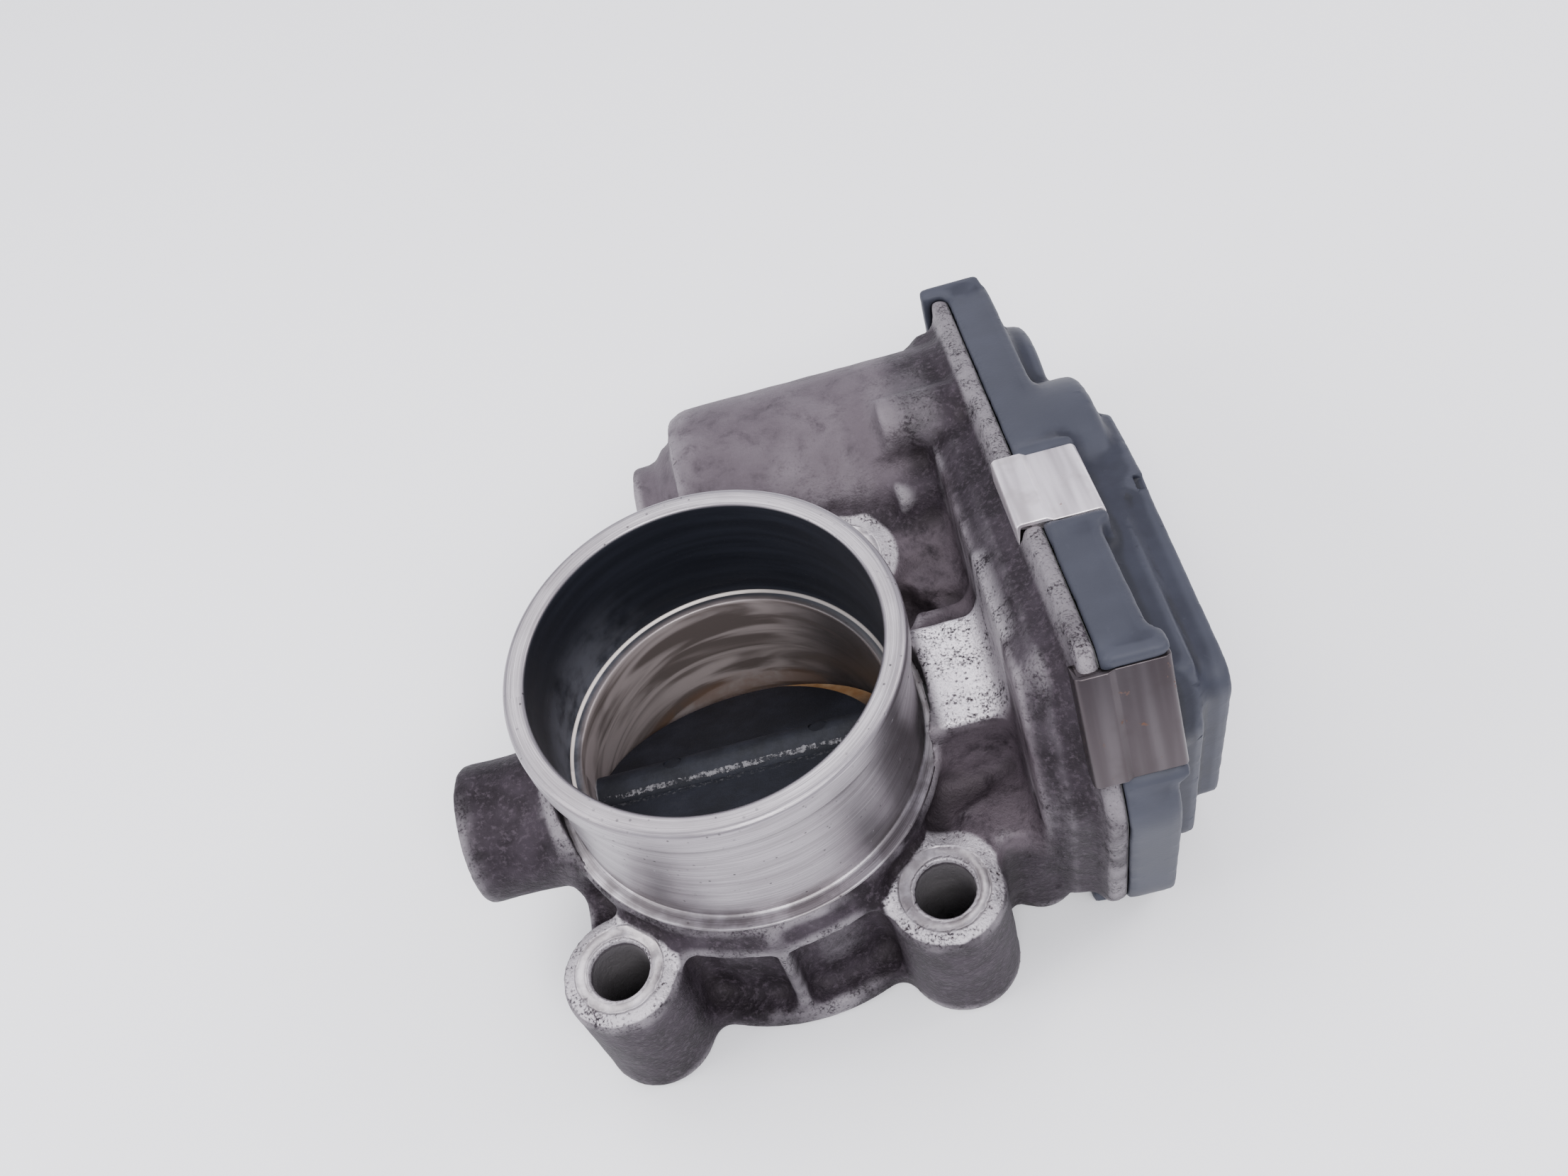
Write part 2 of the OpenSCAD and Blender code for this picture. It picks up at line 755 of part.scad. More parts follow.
module motor_brush_card() {
    card_x = [39.2, 41.6];
    color([0.30, 0.22, 0.16]) {
        difference() {
            rod(motor_can_r - 1.3, card_x[0], card_x[1], motor_y, motor_z);
            rod(motor_shaft_r + 0.6, card_x[0] - 1, card_x[1] + 1, motor_y, motor_z);
        }
        // The two brushes, either side of the commutator
        for (side = [-1, 1])
            translate([35, motor_y + side * 7.3 - 2.8, motor_z - 2])
                cube([card_x[0] - 35 + 0.5, 5.6, 4]);
    }
}

module motor_mount_plate() {
    color([0.66, 0.66, 0.68])
        difference() {
            union() {
                rod(17.4, motor_front_x + 0.02, 45, motor_y, motor_z);
                at_motor_screws() rod(4, pan_floor_x + 0.02, 45, 0, 0);
                rod(5.5, 44, 47, motor_y, motor_z);
            }
            rod(motor_shaft_r + joint_gap, 42, 48, motor_y, motor_z);
            at_motor_screws() rod(1.7, 43, 46, 0, 0);
        }
}

module motor_screws() {
    color([0.60, 0.58, 0.52])
        at_motor_screws()
            difference() {
                union() {
                    rod(1.6, 36, 45.2, 0, 0);
                    rod(2.8, 45, 46.8, 0, 0);
                }
                rod(1.3, 46, 47, 0, 0, $fn = 6);
            }
}

module motor_rear_bush() {
    color([0.70, 0.58, 0.36])
        tube(5.2, motor_shaft_r + joint_gap, -7.6, -4, motor_y, motor_z);
}

module motor_wave_washer() {
    color([0.62, 0.62, 0.64])
        tube(6.6, 3, -9.5, -9.1, motor_y, motor_z);
}

// ---------------------------------------------------------------- stop screw

module stop_screw() {
    at = stop_screw_at;
    color([0.62, 0.60, 0.52])
        translate([at[0], at[1], 0])
            difference() {
                translate([0, 0, 1]) cylinder(r = 2.1, h = 15);
                translate([0, 0, 0]) cylinder(r = 1.2, h = 3, $fn = 6);
            }
}

// ---------------------------------------------------------------- cover

module clip_seat(at, angle) {
    translate([0, at[0], shaft_z + at[1]])
        rotate([angle, 0, 0])
            children();
}

// Middle of an edge of the lip outline, part of the way from corner a to corner b.
function edge_point(a, b, part) =
    [a[0] + (b[0] - a[0]) * part, a[1] + (b[1] - a[1]) * part];
function edge_angle(a, b) = atan2(b[1] - a[1], b[0] - a[0]);

top_at = edge_point(lip_corners[0], lip_corners[4], 0.366);
top_angle = edge_angle(lip_corners[0], lip_corners[4]);
front_at = edge_point(lip_corners[1], lip_corners[0], 0.6);
front_angle = edge_angle(lip_corners[1], lip_corners[0]);
rear_at = edge_point(lip_corners[4], lip_corners[3], 0.545);
rear_angle = edge_angle(lip_corners[4], lip_corners[3]);

seat_depth = 0.6;
seat_x = joint_x + 0.7;         // where the clip seats start on the cover
clip_seats = [[top_at, top_angle], [front_at, front_angle], [rear_at, rear_angle]];
motor_dome_r = 20;
idler_dome_r = 25.2;

// Round dome with a bevelled edge, over a gear.
module dome(r, x1, y, z) {
    bevel = 1.2;
    rod(r, rim_top_x - 1, x1 - bevel, y, z);
    translate([x1 - bevel, y, z])
        rotate([0, 90, 0])
            cylinder(r1 = r, r2 = r - bevel, h = bevel);
}

module cover_outside() {
    shoulder_x = 65.6;
    shoulder_corners = [[-27.5, 33, 5], [-22, -21, 8], [40, -21, 3], [40, 22, 4]];
    slab_outline(lip_corners, joint_x, rim_top_x);
    cover_clip_pads();
    dome(motor_dome_r, motor_dome_x, motor_y, motor_z);
    dome(idler_dome_r, idler_dome_x, idler_y, idler_z);
    // Raised shoulder under the sensor box
    slab_outline(shoulder_corners, rim_top_x - 1, shoulder_x);
    slab_outline(box_corners, rim_top_x, box_x);
    connector_shroud();
    // Hook over the lip's rear upper corner
    cover_hook(edge_point(lip_corners[4], lip_corners[3], 0.13), rear_angle, 59.4);
    // Foot that hooks under the lip's lower front corner
    block([foot_x, foot_y[0], foot_z[0]], [rim_top_x, foot_y[1], foot_z[1]]);
    block([foot_x, foot_y[0], foot_z[0]], [lip_x - joint_gap, foot_y[1], foot_z[1] + 2.4]);
}

module cover_hook(at, angle, end_x) {
    clip_seat(at, angle)
        block([lip_x - 1.4, -5.5, -2], [end_x, 5.5, 1.4]);
}

// Foot of the cover under the lip's lower front corner.
foot_x = lip_x - 1.6;
foot_y = [-26, -17];
foot_z = [0.1, 1.3];

// Socket of the connector: its inside along Y and X, its mouth and its ceiling above the shaft.
connector_y = [-9.3, 9.1];
connector_x = [63.5, 68.9];
connector_wall = 1.5;
connector_mouth = -25.2;
connector_ceiling = -11.6;

module connector_shroud() {
    y0 = connector_y[0] - connector_wall;
    y1 = connector_y[1] + connector_wall;
    slab(connector_x[0] - connector_wall, connector_x[1] + connector_wall)
        polygon(rounded([[y0, -10, 1], [y0, connector_mouth, 1], [y1, connector_mouth, 1], [y1, -10, 1]]));
}

module cover_inside() {
    inner_top = rim_top_x - cover_wall;
    slab_outline(inset(lip_corners, cover_wall), joint_x - 3, inner_top);
    difference() {
        rod(idler_dome_r - cover_wall, inner_top - 1, idler_dome_x - cover_wall, idler_y, idler_z);
        // Boss for the outer end of the idler's pin
        rod(5.2, 63.5, idler_dome_x, idler_y, idler_z);
    }
    rod(motor_dome_r - cover_wall - 0.6, inner_top - 1, motor_dome_x - 1.6, motor_y, motor_z);
    slab_outline([[-21.5, 27, 2.5], [-16.5, -11, 2.5], [11, -11, 1], [11, 23, 1]], inner_top - 1, box_x - cover_wall);
}

// Raised pads around the three clips.
module cover_clip_pads() {
    half = clip_w / 2 + 2.4;
    for (seat = clip_seats)
        clip_seat(seat[0], seat[1])
            block([seat_x, -half, -4], [clip_pad_x, half, 0.6]);
}

// Recesses in the pads, which each clip's web and outer leg sit in.
module cover_clip_recesses() {
    half = clip_w / 2 + 0.4;
    for (seat = clip_seats)
        clip_seat(seat[0], seat[1]) {
            block([seat_x, -half, -seat_depth], [box_x + 1, half, 3]);
            block([clip_pad_x - 0.9, -half, -3.6], [box_x + 1, half, 3]);
        }
}

module gear_cover() {
    color([0.16, 0.17, 0.19])
        difference() {
            union() {
                difference() {
                    cover_outside();
                    cover_inside();
                }
                // Ceiling of the connector's socket
                block([connector_x[0] - connector_wall, connector_y[0] - connector_wall, shaft_z - 13],
                      [connector_x[1] + connector_wall, connector_y[1] + connector_wall, shaft_z - 9.6]);
            }
            // Socket for the plug, open downwards
            block([connector_x[0], connector_y[0], shaft_z + connector_mouth - 1],
                  [connector_x[1], connector_y[1], shaft_z + connector_ceiling]);
            cover_clip_recesses();
            // Recess that the clamping lip sits in under the two hooks
            slab_outline(inset(lip_corners, -0.05), lip_x - 0.05, joint_x);
            rod(3.08, 60, 65.6, idler_y, idler_z);
            for (i = [0:5])
                translate([connector_pin_x - 0.45, connector_pin_y(i) - 0.45, shaft_z - 14])
                    cube([0.9, 0.9, 8]);
        }
}

// Ring that follows the joint between housing and cover, in a groove of the lip.
module gasket_ring(x1) {
    difference() {
        slab_outline(inset(lip_corners, 0.9), joint_x - 0.5, x1);
        slab_outline(inset(lip_corners, 1.7), joint_x - 1, x1 + 1);
    }
}

module cover_gasket() {
    color([0.12, 0.12, 0.12])
        gasket_ring(joint_x);
}

// One side of the clip's strip, d outside its inner face. The web steps down from the lip to the cover.
function clip_side(d, leg, bend_r) =
    let (
        play = 0.05,
        x0 = lip_x - play,
        x1 = clip_pad_x - 0.9 + play,
        step_x = seat_x + 0.1
    )
    [[x0 - d, -leg, 0.05], [x0 - d, play + d, bend_r], [step_x, play + d, 0.4],
     [step_x + 1, play + d - seat_depth, 0.4], [x1 + d, play + d - seat_depth, bend_r], [x1 + d, -leg, 0.05]];

// Spring clip: a web over the rim and a leg down each side.
module cover_clip(at, angle) {
    leg = 3.2;
    color([0.74, 0.70, 0.70])
        clip_seat(at, angle)
            translate([0, clip_w / 2, 0])
                rotate([90, 0, 0])
                    linear_extrude(clip_w)
                        difference() {
                            polygon(rounded(clip_side(clip_t, leg, 1)));
                            polygon(rounded(clip_side(0, leg + 1, 0.15)));
                        }
}

module cover_clip_top() {
    cover_clip(top_at, top_angle);
}

module cover_clip_front() {
    cover_clip(front_at, front_angle);
}

module cover_clip_rear() {
    cover_clip(rear_at, rear_angle);
}

// ---------------------------------------------------------------- electronics

connector_pin_x = (connector_x[0] + connector_x[1]) / 2;
function connector_pin_y(i) = connector_y[0] + 1.7 + i * 3;

module sensor_board() {
    board_x = 64.8;
    color([0.12, 0.30, 0.20]) {
        block([board_x, -16, shaft_z - 8], [board_x + 1.2, 6, shaft_z + 17]);
        block([board_x - 1.2, -3, shaft_z - 3], [board_x + 0.2, 3, shaft_z + 3]);
        block([board_x - 1, -12, shaft_z + 6], [board_x + 0.2, -7, shaft_z + 12]);
    }
}

module connector_pins() {
    color([0.80, 0.72, 0.42])
        for (i = [0:5])
            translate([connector_pin_x - 0.4, connector_pin_y(i) - 0.4, shaft_z - 18])
                cube([0.8, 0.8, 9.9]);
}

housing();
throttle_shaft();
throttle_plate();
plate_screws();
shaft_bearing_left();
shaft_bearing_right();
bearing_circlip();
shaft_seal_left();
shaft_seal_right();
shaft_end_plug();
return_spring();
spring_bush();
sector_gear();
sensor_magnet();
idler_gear();
idler_pin();
motor_can();
motor_magnets();
motor_armature();
motor_shaft();
motor_pinion();
motor_brush_card();
motor_mount_plate();
motor_screws();
motor_rear_bush();
motor_wave_washer();
stop_screw();
gear_cover();
cover_gasket();
cover_clip_top();
cover_clip_front();
cover_clip_rear();
sensor_board();
connector_pins();
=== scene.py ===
"""Looks of an electronic throttle body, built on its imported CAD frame. Lengths named _mm are millimetres."""
import json
import math

import bmesh
import bpy
import numpy as np
import openvdb as vdb
from mathutils import Matrix, Vector


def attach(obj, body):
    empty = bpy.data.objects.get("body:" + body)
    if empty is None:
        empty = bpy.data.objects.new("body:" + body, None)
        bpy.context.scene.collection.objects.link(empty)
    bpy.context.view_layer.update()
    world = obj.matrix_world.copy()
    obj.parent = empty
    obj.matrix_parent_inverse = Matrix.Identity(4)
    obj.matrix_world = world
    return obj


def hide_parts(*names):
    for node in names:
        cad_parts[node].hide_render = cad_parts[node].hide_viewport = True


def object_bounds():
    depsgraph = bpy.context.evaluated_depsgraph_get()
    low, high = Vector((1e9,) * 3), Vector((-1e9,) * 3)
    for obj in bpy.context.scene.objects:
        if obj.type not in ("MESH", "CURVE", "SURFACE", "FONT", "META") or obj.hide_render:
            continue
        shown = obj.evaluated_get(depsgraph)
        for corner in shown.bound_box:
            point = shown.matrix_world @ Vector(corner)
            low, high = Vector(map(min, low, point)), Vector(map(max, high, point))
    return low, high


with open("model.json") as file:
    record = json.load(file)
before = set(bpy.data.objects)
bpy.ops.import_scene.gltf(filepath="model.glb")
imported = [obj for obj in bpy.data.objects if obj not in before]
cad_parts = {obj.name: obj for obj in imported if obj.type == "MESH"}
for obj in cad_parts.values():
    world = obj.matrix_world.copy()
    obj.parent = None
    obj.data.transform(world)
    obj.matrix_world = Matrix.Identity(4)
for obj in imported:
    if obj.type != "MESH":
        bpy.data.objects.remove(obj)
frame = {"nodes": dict(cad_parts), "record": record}  # frame["bodies"], ["nodes"], ["joints"], ["record"]
start_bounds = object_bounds()

MM = 0.001
nodes = frame["nodes"]

# Driving sizes of the casting, as the frame has them
SHAFT_Z = 26.0
BORE_R = 24.75
INLET_R = 26.6
SEAT_R = 28.8
BEAD_R = 30.0
RIM_Z = 59.8
STEP_Z = 36.8
VARNISH_Z = 17.5
REGISTER_Z = 2.4
RING_Z = 31.5
BOLTS = [(25.25, -29.1, 26.0), (-25.25, -29.1, 26.0), (22.3, 31.5, 32.0), (-22.3, 31.5, 32.0)]
BOLT_HOLE_R = 4.6
SPOT_R = 6.9
LIP_X = 49.4
JOINT_X = 52.4
PAN_STEP_X = (41.6, 45.6)   # back of the gear pan, and where it reaches its full outline
PAN_SLOPE = 0.6
# Small notch in the edge of the cover's sensor box
NOTCH_X = 68.6
NOTCH_Y = 15.9
NOTCH_Z = 50.4
NOTCH_W = 2.8


# ---------------------------------------------------------------- materials

class Graph:
    """One node-based material. Its methods take sockets and plain numbers alike."""

    def __init__(self, name):
        self.material = bpy.data.materials.new(name)
        self.material.use_nodes = True
        self.tree = self.material.node_tree
        self.shader = self.tree.nodes["Principled BSDF"]
        self.place = self.tree.nodes.new("ShaderNodeTexCoord").outputs["Object"]

    def put(self, socket, value):
        if isinstance(value, bpy.types.NodeSocket):
            self.tree.links.new(value, socket)
        elif isinstance(value, tuple) and len(value) == 3 and len(socket.default_value) == 4:
            socket.default_value = (*value, 1.0)
        else:
            socket.default_value = value

    def math(self, operation, *values):
        node = self.tree.nodes.new("ShaderNodeMath")
        node.operation = operation
        for socket, value in zip(node.inputs, values):
            self.put(socket, value)
        return node.outputs[0]

    def add(self, *values):
        total = values[0]
        for value in values[1:]:
            total = self.math("ADD", total, value)
        return total

    def times(self, *values):
        product = values[0]
        for value in values[1:]:
            product = self.math("MULTIPLY", product, value)
        return product

    def ramp(self, value, low, high):
        """0 below low and 1 above high, smooth in between; it falls if low is above high."""
        node = self.tree.nodes.new("ShaderNodeMapRange")
        node.interpolation_type = "SMOOTHSTEP"
        falls = low > high
        self.put(node.inputs["Value"], value)
        node.inputs["From Min"].default_value = min(low, high)
        node.inputs["From Max"].default_value = max(low, high)
        node.inputs["To Min"].default_value = 1.0 if falls else 0.0
        node.inputs["To Max"].default_value = 0.0 if falls else 1.0
        return node.outputs[0]

    def between(self, value, low, high, soft):
        rise = self.ramp(value, low - soft, low + soft)
        fall = self.ramp(value, high + soft, high - soft)
        return self.times(rise, fall)

    def larger(self, first, *others):
        for other in others:
            first = self.math("MAXIMUM", first, other)
        return first

    def length(self, a, b):
        """The length of the vector with the sides a and b."""
        return self.math("SQRT", self.add(self.times(a, a), self.times(b, b)))

    def noise(self, size_mm, detail=3.0, roughness=0.55, distortion=0.0, vector=None):
        """Noise whose largest lumps are about size_mm across."""
        node = self.tree.nodes.new("ShaderNodeTexNoise")
        self.put(node.inputs["Vector"], vector or self.place)
        node.inputs["Scale"].default_value = 1.0 / (size_mm * MM)
        node.inputs["Detail"].default_value = detail
        node.inputs["Roughness"].default_value = roughness
        node.inputs["Distortion"].default_value = distortion
        return node.outputs[0]

    def cells(self, size_mm, feature="F1", vector=None):
        node = self.tree.nodes.new("ShaderNodeTexVoronoi")
        node.feature = feature
        self.put(node.inputs["Vector"], vector or self.place)
        node.inputs["Scale"].default_value = 1.0 / (size_mm * MM)
        return node.outputs[0]

    def mix(self, share, a, b):
        node = self.tree.nodes.new("ShaderNodeMix")
        node.data_type = "RGBA"
        self.put(node.inputs[0], share)
        self.put(node.inputs[6], a)
        self.put(node.inputs[7], b)
        return node.outputs[2]

    def blend(self, share, a, b):
        node = self.tree.nodes.new("ShaderNodeMix")
        self.put(node.inputs[0], share)
        self.put(node.inputs[2], a)
        self.put(node.inputs[3], b)
        return node.outputs[0]

    def axes_mm(self):
        """x, y and z in millimetres."""
        split = self.tree.nodes.new("ShaderNodeSeparateXYZ")
        self.put(split.inputs[0], self.place)
        return tuple(self.times(s, 1.0 / MM) for s in split.outputs)

    def combine(self, x, y, z):
        node = self.tree.nodes.new("ShaderNodeCombineXYZ")
        for socket, value in zip(node.inputs, (x, y, z)):
            self.put(socket, value)
        return node.outputs[0]

    def attribute(self, name):
        node = self.tree.nodes.new("ShaderNodeAttribute")
        node.attribute_name = name
        return node.outputs["Fac"]

    def bump(self, height, depth_mm, strength=1.0, normal=None):
        node = self.tree.nodes.new("ShaderNodeBump")
        node.inputs["Strength"].default_value = strength
        node.inputs["Distance"].default_value = depth_mm * MM
        self.put(node.inputs["Height"], height)
        if normal:
            self.put(node.inputs["Normal"], normal)
        return node.outputs[0]

    def finish(self, colour, roughness, metallic, normal=None, **constants):
        self.put(self.shader.inputs["Base Color"], colour)
        self.put(self.shader.inputs["Roughness"], roughness)
        self.put(self.shader.inputs["Metallic"], metallic)
        if normal:
            self.put(self.shader.inputs["Normal"], normal)
        for name, value in constants.items():
            self.shader.inputs[name.replace("_", " ")].default_value = value
        return self.material


def cast_aluminium():
    """Stained casting: grey-brown mottling, pits, dirt in hollows, worn edges and bright machined seats, with
    painted light on the neck top, lug, pockets and motor housing.
    """
    g = Graph("cast_aluminium")
    x, y, z = g.axes_mm()
    hollow = g.attribute("hollow")
    broad = g.noise(17, 3, 0.6)
    mottle = g.noise(4.2, 5, 0.65, 0.3)
    grain = g.noise(0.9, 3, 0.7)
    speck = g.noise(0.42, 2, 0.6)
    pits = g.times(g.ramp(g.cells(0.75), 0.40, 0.12), g.ramp(g.noise(2.2, 4, 0.65), 0.5, 0.66))
    stain = g.add(g.times(broad, 0.45), g.times(mottle, 0.55))
    colour = g.mix(g.ramp(stain, 0.37, 0.65), (0.0118, 0.0084, 0.0112), (0.0350, 0.0268, 0.0345))
    colour = g.mix(g.times(g.ramp(grain, 0.48, 0.72), 0.6), colour, (0.072, 0.057, 0.070))
    # Bright, pitted zones: lip and worn edges, and a painted highlight on the top of the neck and on the lug
    fade = g.blend(g.ramp(x, 37.0, 43.5), 1.0, 0.25)
    neck = g.times(g.between(x, 31, 43.5, 1.4), g.between(y, -9.5, 11, 1.5), g.ramp(z, 36.8, 37.6), fade)
    lip = g.times(g.ramp(x, LIP_X - 1.0, LIP_X), g.blend(g.ramp(y, -6, -24), 0.2, 0.05))
    lug_highlight = g.times(g.between(x, 33, 44, 2), g.between(y, 44, 62, 3), g.ramp(z, 38, 44), 0.07)
    worn = g.times(g.ramp(hollow, 0.25, 1.1), g.ramp(broad, 0.35, 0.65), 0.2)
    # Painted light: paler patches in the pockets beside the neck and on the motor housing
    pockets = g.add(g.between(y, -27, -9, 1.5), g.between(y, 13, 34, 1.5))
    pocket_light = g.times(g.between(x, 28, 42, 1.5), pockets, g.ramp(z, 18, 24))
    motor_light = g.times(g.ramp(y, 37, 44), g.ramp(x, 40, 35), g.ramp(mottle, 0.0, 0.55))
    rings = 0.0
    seats = 0.0
    holes = 0.0
    for bolt_x, bolt_y, top in BOLTS:
        dx = g.math("SUBTRACT", x, bolt_x)
        dy = g.math("SUBTRACT", y, bolt_y)
        away = g.length(dx, dy)
        near_hole = g.ramp(z, top - 1.0, top - 2.0)
        near_top = g.between(z, top - 1.0, top + 0.6, 0.2)
        flat_top = g.ramp(z, top - 0.28, top - 0.1)
        spot = g.ramp(away, SPOT_R + 0.3, SPOT_R - 0.1)
        hole = g.ramp(away, BOLT_HOLE_R + 0.35, BOLT_HOLE_R + 0.1)
        rings = g.larger(rings, g.times(near_top, g.ramp(away, 9.9, 8.9), 0.5))
        seats = g.larger(seats, g.times(flat_top, spot, near_top))
        holes = g.larger(holes, g.times(hole, near_hole))
    wear_and_highlight = g.larger(neck, lip, worn, rings, lug_highlight)
    patchy = g.times(wear_and_highlight, g.ramp(g.add(g.times(mottle, 0.5), g.times(speck, 0.5)), 0.36, 0.52))
    # Painted light: the motor housing and the pockets are made paler
    colour = g.mix(g.times(motor_light, 0.7), colour, (0.122, 0.101, 0.116))
    colour = g.mix(g.times(pocket_light, g.ramp(mottle, 0.2, 0.6)), colour, (0.095, 0.076, 0.088))
    # Pale metal where edges, lip and boss rings are worn, plus painted highlights on the neck top and lug
    colour = g.mix(patchy, colour, (0.84, 0.79, 0.83))
    # Dirt that collects in the hollows
    dirt = g.times(g.ramp(hollow, -0.2, -0.8), g.ramp(mottle, 0.25, 0.6))
    colour = g.mix(g.times(dirt, 0.55), colour, (0.022, 0.018, 0.019))
    pitted = g.times(pits, g.larger(wear_and_highlight, 0.08), 1.5)
    colour = g.mix(g.math("MINIMUM", pitted, 0.6), colour, (0.07, 0.055, 0.052))
    machined = g.larger(seats, g.ramp(z, 0.12, 0.05))
    colour = g.mix(g.times(holes, 0.8), colour, (0.17, 0.16, 0.165))
    cut_metal = g.mix(g.ramp(mottle, 0.35, 0.7), (0.22, 0.20, 0.205), (0.44, 0.41, 0.43))
    colour = g.mix(machined, colour, cut_metal)
    rough = g.blend(machined, g.blend(patchy, g.add(0.5, g.times(mottle, 0.22)), 0.42), 0.3)
    skin = g.add(g.times(mottle, 0.8), g.times(grain, 0.5))
    rough_height = g.add(skin, g.times(speck, 0.22), g.times(pitted, -0.75))
    height = g.blend(machined, rough_height, g.times(grain, 0.06))
    normal = g.bump(height, 0.36, 1.0)
    metallic = g.blend(g.larger(patchy, machined), 0.35, 0.85)
    return g.finish(colour, rough, metallic, normal, Specular_IOR_Level=0.2)


def turned_aluminium():
    """Turned inlet and bore: bright outside, black with soot inside, with brown bands above the plate."""
    g = Graph("turned_aluminium")
    x, y, z = g.axes_mm()
    radius = g.length(x, y)
    around = g.times(g.math("ARCTAN2", y, x), 2.0)
    turned = g.combine(g.times(radius, 0.02), g.times(z, 0.02), g.times(around, 0.002))
    lines = g.noise(2.2, 4, 0.75, vector=turned)
    flow = g.combine(g.times(around, 0.004), g.times(z, 0.004), 0.0)
    streak = g.noise(9, 4, 0.6, vector=flow)
    cloud = g.noise(7, 4, 0.6)
    speck = g.noise(0.55, 2, 0.6)
    nick = g.ramp(g.cells(1.7), 0.16, 0.06)
    metal = g.mix(g.ramp(lines, 0.3, 0.72), (0.20, 0.185, 0.196), (0.46, 0.43, 0.455))
    metal = g.mix(g.times(g.ramp(streak, 0.46, 0.7), 0.5), metal, (0.17, 0.153, 0.162))
    metal = g.mix(g.times(nick, g.ramp(cloud, 0.42, 0.6), 0.8), metal, (0.05, 0.045, 0.045))
    low_dirt = g.times(g.ramp(z, 36.5, 32.0), g.ramp(cloud, 0.36, 0.6))
    metal = g.mix(g.times(low_dirt, 0.6), metal, (0.085, 0.072, 0.072))
    inside = g.ramp(radius, INLET_R + 0.3, INLET_R + 0.05)
    inside = g.times(inside, g.ramp(z, RIM_Z - 0.15, RIM_Z - 0.6))
    soot = g.mix(g.ramp(streak, 0.3, 0.75), (0.0065, 0.0075, 0.0118), (0.0145, 0.0165, 0.024))
    # Painted light: the wall is painted paler on the side away from the cover
    painted_lit_side = g.times(g.ramp(x, -8.0, -25.0), g.ramp(z, 52.0, 40.0))
    soot = g.mix(g.times(painted_lit_side, g.ramp(cloud, 0.3, 0.6), 0.55), soot, (0.17, 0.175, 0.205))
    bands = g.noise(4.6, 3, 0.5, 0.9, vector=g.combine(g.times(around, 0.0022), g.times(z, 0.0011), 0.0))
    bore = g.mix(g.ramp(bands, 0.36, 0.6), (0.15, 0.122, 0.114), (0.45, 0.385, 0.375))
    # Painted shade: the bore is painted darker towards the cover side, +x
    bore = g.mix(g.times(g.ramp(x, 6.0, 19.0), g.ramp(bands, 0.3, 0.5), 0.85), bore, (0.020, 0.018, 0.020))
    varnish = g.times(g.ramp(z, VARNISH_Z, VARNISH_Z - 3), g.ramp(cloud, 0.35, 0.6))
    bore = g.mix(g.times(varnish, 0.5), bore, (0.24, 0.13, 0.07))
    near_step = g.between(z, STEP_Z - 0.3, STEP_Z + 0.5, 0.1)
    ledge = g.times(near_step, g.between(radius, INLET_R - 0.5, INLET_R + 0.1, 0.1))
    wall = g.mix(g.ramp(z, STEP_Z - 0.2, STEP_Z + 0.2), bore, soot)
    ledge = g.times(ledge, g.ramp(streak, 0.2, 0.5), g.blend(g.ramp(x, 2.0, 12.0), 1.0, 0.3))
    wall = g.mix(ledge, wall, (0.80, 0.72, 0.66))
    colour = g.mix(inside, metal, wall)
    dull = g.times(inside, g.ramp(z, STEP_Z, STEP_Z + 0.5))
    rough = g.blend(inside, g.add(0.3, g.times(cloud, 0.16), g.times(nick, 0.2)), g.blend(dull, 0.34, 0.5))
    metallic = g.blend(inside, 1.0, g.blend(dull, 0.35, 0.2))
    height = g.add(g.times(lines, g.blend(inside, 0.5, 0.05)), g.times(speck, 0.2), g.times(nick, -0.6))
    return g.finish(colour, rough, metallic, g.bump(height, 0.05, 0.7))


def sooty_plate():
    """Dry soot on the plate, with a paler granular line along the shaft."""
    g = Graph("sooty_plate")
    x, y, z = g.axes_mm()
    off_axis = g.length(y, g.math("SUBTRACT", z, SHAFT_Z))
    cloud = g.noise(8, 4, 0.6)
    grain = g.noise(0.7, 3, 0.7)
    colour = g.mix(g.ramp(cloud, 0.35, 0.7), (0.0060, 0.0072, 0.0122), (0.0150, 0.0172, 0.027))
    line = g.times(g.between(off_axis, 3.6, 5.2, 0.35), g.ramp(grain, 0.5, 0.62))
    colour = g.mix(g.times(line, 0.15), colour, (0.36, 0.35, 0.36))
    # Clean crescent of brass along the rear edge
    dx = g.add(x, 2.6)
    dy = g.add(y, 2.1)
    rim = g.ramp(g.length(dx, dy), 24.65, 24.85)
    crescent = g.times(rim, g.ramp(y, 6, 14), g.ramp(x, -13, -4))
    brass = g.mix(g.ramp(cloud, 0.35, 0.65), (0.30, 0.14, 0.045), (0.52, 0.36, 0.20))
    colour = g.mix(g.times(crescent, 0.9), colour, brass)
    smear = g.times(g.ramp(cloud, 0.6, 0.75), g.ramp(grain, 0.45, 0.7))
    colour = g.mix(g.times(smear, 0.35), colour, (0.09, 0.075, 0.078))
    height = g.add(g.times(grain, 0.6), g.times(cloud, 0.6), g.times(line, 0.8))
    return g.finish(colour, g.add(0.55, g.times(grain, 0.25)), 0.1, g.bump(height, 0.2, 0.8))


